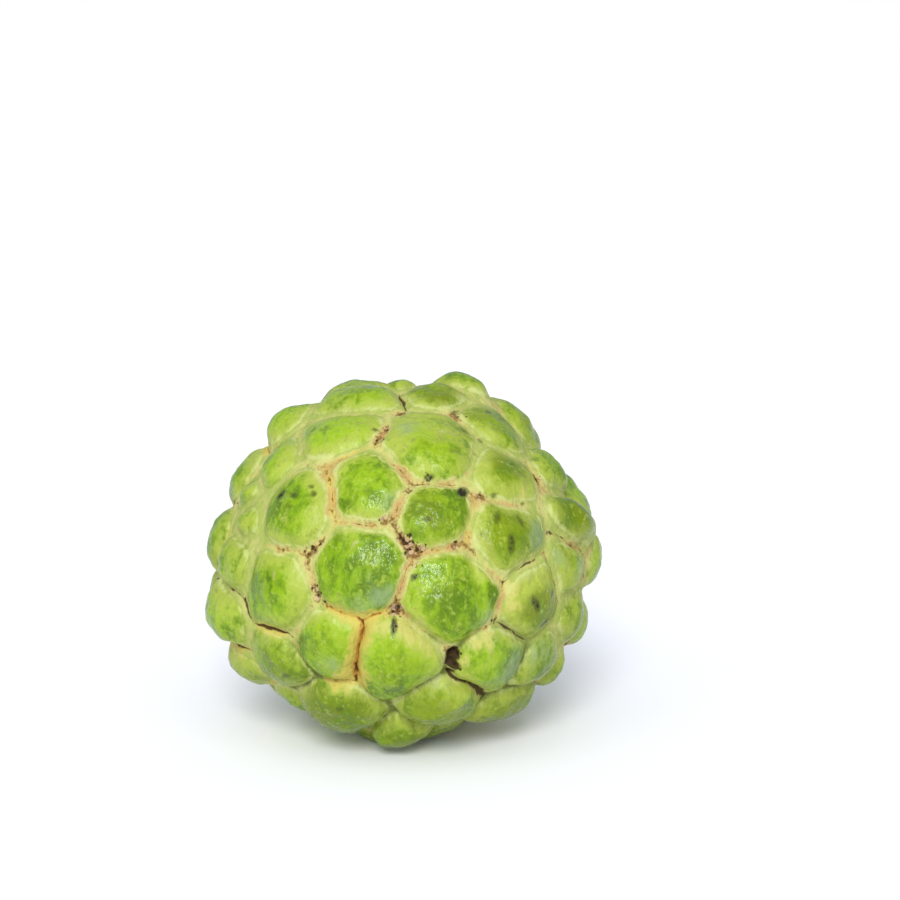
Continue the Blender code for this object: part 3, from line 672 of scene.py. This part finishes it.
# Patterns: the size of their patches in mm, how much finer detail they have, and how much taller than wide
# they are.
# Layers, from the flesh out: each one's cover follows a sum of patterns and of the numbers that the skin
# carries. It is nothing where that sum is at the first of its two limits, and "most" at the second.
skin = {
    "patterns": {
        "broad": (12.0, 2, 1.0), "blotch": (4.2, 3, 1.5), "mottle": (1.8, 3, 1.8), "fleck": (1.2, 1, 1.2),
        "grain": (0.7, 2, 1.0),
    },
    "flesh": "#638405", "fleshRoughness": 0.17,
    # The layers that follow "light" or "shade" carry painted light and shade along with the skin's own tones.
    "layers": [
        {"of": "deep green", "colour": "#466102", "roughness": 0.15,
         "follows": {"blotch": -1.7, "mottle": -2.0, "grain": -0.5, "light": -0.9, "shade": -1.0},
         "limits": (-0.4, 0.25), "most": 0.85},
        {"of": "light green", "colour": "#8aab10", "roughness": 0.22,
         "follows": {"blotch": 1.5, "mottle": 1.8, "grain": 0.5, "light": 1.0, "shade": 0.5},
         "limits": (0.2, 0.9), "most": 0.9},
        {"of": "ripe yellow green", "colour": "#737e0b", "roughness": 0.25,
         "follows": {"broad": 1.2, "blotch": 0.5, "ripe": 1.0},
         "limits": (0.2, 1.1), "most": 0.85},
        {"of": "pale band round the edge", "colour": "#99a541", "roughness": 0.45,
         "follows": {"broad": 0.8, "blotch": 1.3, "mottle": 1.3, "grain": 0.4, "paleEdge": 1.0, "shade": 0.9},
         "limits": (0.1, 1.1), "most": 0.85},
        {"of": "deep mottling", "colour": "#567808", "roughness": 0.2,
         "follows": {"blotch": -2.4, "mottle": -1.6, "fleck": 0.8, "shade": -0.5},
         "limits": (0.15, 0.8), "most": 0.7},
        {"of": "olive mottling", "colour": "#4c6005", "roughness": 0.3,
         "follows": {"mottle": 2.4, "blotch": 2.0, "grain": 1.2, "light": -0.2},
         "limits": (0.15, 0.75), "most": 0.55},
        {"of": "pale mottling", "colour": "#aaba42", "roughness": 0.35,
         "follows": {"mottle": -1.8, "fleck": -1.4, "grain": -0.8, "blotch": 0.5},
         "limits": (0.15, 0.75), "most": 0.5},
        # painted highlight: small pale lime flecks over the knobs, in the form of soft glints
        {"of": "pale flecks of painted glint", "colour": "#9daf42", "roughness": 0.2,
         "follows": {"fleck": 2.4, "grain": 1.4, "mottle": -1.0, "light": 0.4},
         "limits": (0.3, 1.0), "most": 0.55},
        {"of": "bluish bloom", "colour": "#829568", "roughness": 0.6,
         "follows": {"mottle": 1.2, "blotch": 0.6, "bloom": 1.0},
         "limits": (0.25, 1.0), "most": 0.75},
        {"of": "whitish rim", "colour": "#abb369", "roughness": 0.6,
         "follows": {"broad": 2.4, "blotch": 1.8, "mottle": 0.6, "onKnob": -0.8, "shade": 0.5},
         "limits": (-0.5, 0.7), "most": 0.7},
        # painted shade: the creases are darkened to a deep olive; where a crease is open the cream of the
        # next layer covers it, so the narrow ones stay dark
        {"of": "narrow crease in painted shade", "colour": "#434d0f", "roughness": 0.7,
         "follows": {"mottle": -0.8, "grain": 0.5, "onKnob": -1.0},
         "limits": (-0.15, 0.45), "most": 0.8},
        {"of": "open crease", "colour": "#99a64f", "roughness": 0.75,
         "follows": {"mottle": -0.9, "grain": 0.6, "onKnob": -1.0},
         "limits": (-0.15, 0.4), "most": 0.9, "within": ["openCrease"]},
        {"of": "skin worn to a dry cream", "colour": "#b0ac5a", "roughness": 0.65,
         "follows": {"mottle": 1.6, "blotch": 1.2, "grain": 0.8, "worn": 1.0},
         "limits": (0.25, 0.9), "most": 0.85},
        {"of": "cream cork", "colour": "#b6b26c", "roughness": 0.8,
         "follows": {"mottle": 2.0, "blotch": 1.8, "grain": 0.5, "onKnob": -0.55, "warm": 1.0},
         "limits": (0.15, 1.0), "most": 0.85},
        {"of": "tan cork", "colour": "#a5834e", "roughness": 0.85,
         "follows": {"mottle": 2.2, "blotch": -1.2, "grain": 1.2, "creaseLine": -0.4, "warm": 1.0},
         "limits": (0.15, 0.9), "most": 0.8},
        {"of": "pink cork", "colour": "#ad7d52", "roughness": 0.85,
         "follows": {"blotch": 1.8, "mottle": -1.8, "creaseLine": -0.3, "warm": 1.0},
         "limits": (0.6, 1.2), "most": 0.75},
        {"of": "pale line round the knobs", "colour": "#b2b972", "roughness": 0.6,
         "follows": {"broad": 0.8, "blotch": 2.4, "mottle": 1.6, "grain": 0.8, "edgeLine": 1.0},
         "limits": (0.5, 1.1), "most": 0.7},
        {"of": "cream edge of a tear", "colour": "#baaa4e", "roughness": 0.75,
         "follows": {"mottle": 1.0, "blotch": 0.6, "grain": 0.5, "creaseLine": -0.34, "rust": 1.0},
         "limits": (0.1, 0.65), "most": 0.9},
        {"of": "rusty middle of a tear", "colour": "#9c621a", "roughness": 0.85,
         "follows": {"mottle": 1.2, "grain": 0.8, "creaseLine": -1.1, "rust": 1.0},
         "limits": (0.3, 0.85), "most": 0.85},
        {"of": "brown cork", "colour": "#5d4012", "roughness": 0.9,
         "follows": {"mottle": 1.6, "grain": 2.0, "creaseLine": -0.45, "warm": 0.4, "cork": 0.85},
         "limits": (0.3, 0.9), "most": 0.75},
        {"of": "pale crumbs", "colour": "#ba9e7e", "roughness": 0.9,
         "follows": {"crumb": 1.0, "crumbTone": -1.2, "grain": 1.2, "cork": 1.2},
         "limits": (1.3, 1.6), "most": 0.85},
        {"of": "brown crumbs", "colour": "#2c1d04", "roughness": 0.9,
         "follows": {"crumb": 1.0, "crumbTone": 1.2, "grain": 1.2, "cork": 1.2},
         "limits": (1.15, 1.45), "most": 0.92},
        {"of": "crack", "colour": "#321b05", "roughness": 0.9,
         "follows": {"mottle": 0.9, "blotch": 0.9, "creaseLine": -1.0, "torn": 0.75},
         "limits": (0.2, 0.45), "most": 0.9},
        {"of": "pit", "colour": "#2a1702", "roughness": 0.9,
         "follows": {"grain": 0.6, "pit": 1.0},
         "limits": (0.25, 0.75), "most": 0.95},
        {"of": "bruise", "colour": "#3a4208", "roughness": 0.35,
         "follows": {"mottle": 1.0, "grain": 0.6, "speck": 1.0},
         "limits": (0.1, 0.6), "most": 0.7},
        {"of": "black scab", "colour": "#171409", "roughness": 0.7,
         "follows": {"mottle": 0.8, "grain": 1.4, "speck": 1.0},
         "limits": (0.6, 0.95), "most": 0.95},
    ],
    "relief": {"mottle": 1.2, "fleck": 0.6, "grain": 0.2}, "reliefDepth": 0.3,  # mm
    "crumbSize": 0.8,  # mm
    "patternRoughness": 0.6,
    "ior": 1.45, "specular": 0.3,  # of a thin natural wax
    "glow": 0.06, "glowDepth": 1.5,  # light that goes in and comes out again; mm
}


def makeSkin():
    # Custard apple rind: living green skin with a thin wax on it. Satin, with small wet-looking glints on the
    # tops of the knobs, and dull corky creases.
    material = bpy.data.materials.new("waxyFruitRind")
    material.use_nodes = True
    tree = material.node_tree
    tree.nodes.clear()
    coordinates = addNode(tree, "ShaderNodeTexCoord").outputs["Object"]
    values = {}
    for name in ("onKnob", "creaseLine", "torn", "rust", "warm", "worn", "cork", "pit", "speck", "bloom",
                 "light", "ripe", "paleEdge", "openCrease", "edgeLine", "shade"):
        values[name] = addNode(tree, "ShaderNodeAttribute", {"attribute_name": name}).outputs["Fac"]
    for place, (name, (size, detail, taller)) in enumerate(skin["patterns"].items()):
        # each is taken 10 cm further along, so that no two line up
        moved = addNode(tree, "ShaderNodeMapping", None, {
            "Vector": coordinates, "Location": (place * 0.1, 0, 0), "Scale": (1, 1, 1 / taller)}).outputs[0]
        made = addNode(tree, "ShaderNodeTexNoise", None, {
            "Vector": moved, "Scale": 1 / (size * mm), "Detail": detail,
            "Roughness": skin["patternRoughness"]}).outputs["Fac"]
        values[name] = addNode(tree, "ShaderNodeMath", {"operation": "SUBTRACT"}, {
            0: made, 1: 0.5}).outputs[0]
    cells = addNode(tree, "ShaderNodeTexVoronoi", {"feature": "F1"}, {
        "Vector": coordinates, "Scale": 1 / (skin["crumbSize"] * mm)}).outputs
    values["crumb"] = addNode(tree, "ShaderNodeMath", {"operation": "SUBTRACT"}, {
        0: 0.5, 1: cells["Distance"]}).outputs[0]
    tone = addNode(tree, "ShaderNodeSeparateColor", None, {"Color": cells["Color"]}).outputs[0]
    values["crumbTone"] = addNode(tree, "ShaderNodeMath", {"operation": "SUBTRACT"}, {
        0: tone, 1: 0.5}).outputs[0]

    def weigh(parts):
        # a sum of named values, each times its weight
        total = 0.0
        for name, weight in parts.items():
            total = addNode(tree, "ShaderNodeMath", {"operation": "MULTIPLY_ADD"}, {
                0: values[name], 1: weight, 2: total}).outputs[0]
        return total

    colour, roughness = linear(skin["flesh"]), skin["fleshRoughness"]
    for layer in skin["layers"]:
        low, high = layer["limits"]
        cover = addNode(tree, "ShaderNodeMapRange", {"interpolation_type": "SMOOTHSTEP"}, {
            "Value": weigh(layer["follows"]), "From Min": low, "From Max": high,
            "To Max": layer["most"]}).outputs[0]
        for name in layer.get("within", []):
            cover = addNode(tree, "ShaderNodeMath", {"operation": "MULTIPLY"}, {
                0: cover, 1: values[name]}).outputs[0]
        colour = addNode(tree, "ShaderNodeMix", {"data_type": "RGBA", "label": layer["of"]}, {
            0: cover, 6: colour, 7: linear(layer["colour"])}).outputs[2]
        roughness = addNode(tree, "ShaderNodeMix", {"data_type": "FLOAT"}, {
            0: cover, 2: roughness, 3: layer["roughness"]}).outputs[0]

    bump = addNode(tree, "ShaderNodeBump", None, {
        "Height": weigh(skin["relief"]), "Strength": 1.0,
        "Distance": skin["reliefDepth"] * mm}).outputs["Normal"]
    shader = addNode(tree, "ShaderNodeBsdfPrincipled", None, {
        "Base Color": colour, "Roughness": roughness, "Normal": bump,
        "IOR": skin["ior"], "Specular IOR Level": skin["specular"],
        "Subsurface Weight": skin["glow"], "Subsurface Scale": skin["glowDepth"] * mm,
        "Subsurface Radius": (0.8, 1.0, 0.3)})  # green goes furthest
    addNode(tree, "ShaderNodeOutputMaterial", None, {"Surface": shader.outputs["BSDF"]})
    return material


# Millimetres. The outline goes up from the middle of the foot: how far out, in the collar's radius and the
# stalk's, and how far up, as a share of the length.
stub = {
    "radius": 2.9, "collarRadius": 4.2, "length": 8.0, "clearance": 0.3,
    "collarOutline": [(0, 0), (0.84, 0), (0.95, 0.05), (1, 0.11), (0.97, 0.2), (0.88, 0.28)],
    "stalkOutline": [(1.08, 0.38), (1, 0.5), (0.97, 0.7), (0.98, 0.9), (0.94, 0.97), (0.86, 1), (0.5, 0.985),
                     (0, 0.99)],
    "sides": 96,
    "cutFrom": 0.975, "cutWithin": 0.9,  # the cut face, as shares of the length and the radius
    "ridges": ((9, 0.07), (23, 0.04)),  # how many go round, and their height
    "ridgeSway": 1.3,  # how fast the wide ones sway to and fro on their way up
    "knotHeight": 0.25, "knotSize": 2.2,
    "smoothFoot": 0.2, "smoothEnd": 0.6,  # no bark under this height, or within this share of the radius
    "bark": "#5b4630", "barkDark": "#2e2114", "cutFace": "#b39a68", "pith": "#8a7148",
    "grain": 0.8, "grainStretch": 4, "grainDepth": 0.25, "roughness": 0.85,
}


def makeBark():
    # Woody stalk: weathered bark, dull and finely ridged along its length, with a dry pale cut across it.
    material = bpy.data.materials.new("weatheredStalkBark")
    material.use_nodes = True
    tree = material.node_tree
    tree.nodes.clear()
    axis = stalkAxis()
    place = addNode(tree, "ShaderNodeTexCoord").outputs["Object"]
    along = addNode(tree, "ShaderNodeMapping", {"vector_type": "TEXTURE"}, {
        "Vector": place, "Rotation": Vector((0, 0, 1)).rotation_difference(axis).to_euler(),
        "Scale": (1, 1, stub["grainStretch"])}).outputs[0]
    ridges = addNode(tree, "ShaderNodeTexNoise", None, {
        "Vector": along, "Scale": 1 / (stub["grain"] * mm), "Detail": 4, "Roughness": 0.6}).outputs["Fac"]
    cut = addNode(tree, "ShaderNodeAttribute", {"attribute_name": "cutFace"}).outputs["Fac"]
    bark = addNode(tree, "ShaderNodeMix", {"data_type": "RGBA"}, {
        0: ridges, 6: linear(stub["barkDark"]), 7: linear(stub["bark"])}).outputs[2]
    wood = addNode(tree, "ShaderNodeMix", {"data_type": "RGBA"}, {
        0: ridges, 6: linear(stub["pith"]), 7: linear(stub["cutFace"])}).outputs[2]
    colour = addNode(tree, "ShaderNodeMix", {"data_type": "RGBA"}, {0: cut, 6: bark, 7: wood}).outputs[2]
    bump = addNode(tree, "ShaderNodeBump", None, {
        "Height": ridges, "Distance": stub["grainDepth"] * mm}).outputs["Normal"]
    shader = addNode(tree, "ShaderNodeBsdfPrincipled", None, {
        "Base Color": colour, "Roughness": stub["roughness"], "Normal": bump})
    addNode(tree, "ShaderNodeOutputMaterial", None, {"Surface": shader.outputs["BSDF"]})
    return material


def buildStub(middle, material):
    radius, collar, length, lift = stub["radius"], stub["collarRadius"], stub["length"], stub["clearance"]
    profile = [(collar * out, up) for out, up in stub["collarOutline"]]
    profile += [(radius * out, up) for out, up in stub["stalkOutline"]]
    bm = bmesh.new()
    corners = [bm.verts.new((out, 0, lift + up * length)) for out, up in profile]
    edges = [bm.edges.new(pair) for pair in zip(corners, corners[1:])]
    bmesh.ops.subdivide_edges(bm, edges=edges, cuts=3)
    bmesh.ops.spin(bm, geom=bm.verts[:] + bm.edges[:], axis=(0, 0, 1), cent=(0, 0, 0),
                   steps=stub["sides"], angle=math.tau, use_merge=True)
    bmesh.ops.remove_doubles(bm, verts=bm.verts[:], dist=1e-5)
    bmesh.ops.recalc_face_normals(bm, faces=bm.faces[:])
    (few, high), (many, low) = stub["ridges"]
    cutHeight = lift + length * stub["cutFrom"]
    onCut = []
    for vertex in bm.verts:
        around = math.atan2(vertex.co.y, vertex.co.x)
        out = math.hypot(vertex.co.x, vertex.co.y)
        onCut.append(1.0 if vertex.co.z > cutHeight and out < radius * stub["cutWithin"] else 0.0)
        if vertex.co.z > lift + stub["smoothFoot"] and out > radius * stub["smoothEnd"]:
            ridge = math.sin(around * few + math.sin(vertex.co.z * stub["ridgeSway"])) * high
            ridge += math.sin(around * many) * low
            knot = noise.noise(vertex.co / stub["knotSize"]) * stub["knotHeight"]
            vertex.co.x *= 1 + (ridge + knot) / out
            vertex.co.y *= 1 + (ridge + knot) / out
    turn = Vector((0, 0, 1)).rotation_difference(stalkAxis()).to_matrix()
    bmesh.ops.transform(bm, verts=bm.verts[:], matrix=turn.to_4x4())
    bmesh.ops.translate(bm, verts=bm.verts[:], vec=Vector(middle) + stalkAxis() * hollowFloor())
    bmesh.ops.scale(bm, verts=bm.verts[:], vec=(mm, mm, mm))
    mesh = bpy.data.meshes.new("stalkStub")
    bm.to_mesh(mesh)
    bm.free()
    mesh.attributes.new("cutFace", "FLOAT", "POINT").data.foreach_set("value", onCut)
    mesh.materials.append(material)
    mesh.shade_smooth()
    made = bpy.data.objects.new("stalkStub", mesh)
    scene.collection.objects.link(made)
    return made


studio = {
    "floor": "#f4f4f7", "floorRoughness": 0.9, "floorSize": 6,  # metres from its middle to a side
    "lens": 85, "distance": 0.4322, "lookDown": 13.0,  # mm, metres, degrees
    "lookRight": 1.24, "lookPast": 2.97,  # degrees that it looks to the right of the fruit and over it
    "softFrom": (-0.15, -0.85, 0.55), "softAngle": 90, "softStrength": 1.35,  # angles in degrees
    "keyFrom": (-0.08, -0.82, 0.55), "keyAngle": 22, "keyStrength": 2.3,
    "worldStrength": 0.62, "skyTint": "#eef4ff",
}


def addSun(name, toward, angle, strength):
    # a lamp so far off that it lights the whole floor evenly; a wider angle makes softer shadows
    light = bpy.data.lights.new(name, "SUN")
    light.angle = math.radians(angle)
    light.energy = strength
    made = bpy.data.objects.new(name, light)
    made.rotation_mode = "QUATERNION"
    made.rotation_quaternion = (-Vector(toward)).to_track_quat("-Z", "Y")
    scene.collection.objects.link(made)


def setStudio(middle):
    bm = bmesh.new()
    bmesh.ops.create_grid(bm, x_segments=1, y_segments=1, size=studio["floorSize"])
    mesh = bpy.data.meshes.new("floor")
    bm.to_mesh(mesh)
    bm.free()
    paper = bpy.data.materials.new("matteWhitePaper")  # white paper sweep, dull
    paper.use_nodes = True
    paper.node_tree.nodes["Principled BSDF"].inputs["Base Color"].default_value = linear(studio["floor"])
    paper.node_tree.nodes["Principled BSDF"].inputs["Roughness"].default_value = studio["floorRoughness"]
    mesh.materials.append(paper)
    floor = bpy.data.objects.new("floor", mesh)
    scene.collection.objects.link(floor)

    target = Vector(middle) * mm
    addSun("softLight", studio["softFrom"], studio["softAngle"], studio["softStrength"])
    addSun("keyLight", studio["keyFrom"], studio["keyAngle"], studio["keyStrength"])
    world = bpy.data.worlds.new("studioWhite")
    scene.world = world
    world.use_nodes = True
    tree = world.node_tree
    seen = addNode(tree, "ShaderNodeLightPath").outputs["Is Camera Ray"]
    strength = addNode(tree, "ShaderNodeMapRange", None, {
        "Value": seen, "To Min": studio["worldStrength"], "To Max": 1.0}).outputs[0]
    tint = addNode(tree, "ShaderNodeMix", {"data_type": "RGBA"}, {
        0: seen, 6: linear(studio["skyTint"]), 7: (1, 1, 1, 1)}).outputs[2]
    background = tree.nodes["Background"]
    tree.links.new(tint, background.inputs["Color"])
    tree.links.new(strength, background.inputs["Strength"])

    camera = bpy.data.objects.new("camera", bpy.data.cameras.new("camera"))
    scene.collection.objects.link(camera)
    camera.data.lens = studio["lens"]
    camera.data.sensor_width = 36
    camera.data.clip_start = 0.01
    look = math.radians(studio["lookDown"])
    toCamera = Vector((0, -math.cos(look), math.sin(look)))
    camera.location = target + toCamera * studio["distance"]
    tilt = math.radians(90 + studio["lookPast"]) - look
    turn = Matrix.Rotation(-math.radians(studio["lookRight"]), 3, "Z") @ Matrix.Rotation(tilt, 3, "X")
    camera.rotation_euler = turn.to_euler()
    scene.camera = camera
    scene.view_settings.view_transform = "Standard"


skinMaterial = makeSkin()
fruitSkin, fruitMiddle = buildFruit(skinMaterial)
print("custard apple: fruit grown,", len(fruitSkin.data.polygons), "faces")
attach(fruitSkin, "root")
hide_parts("fruit")

stalkStub = buildStub(fruitMiddle, makeBark())
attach(stalkStub, "root")
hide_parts("stalk_stub")
print("custard apple: stalk made")

setStudio(fruitMiddle)
print("custard apple: studio set")
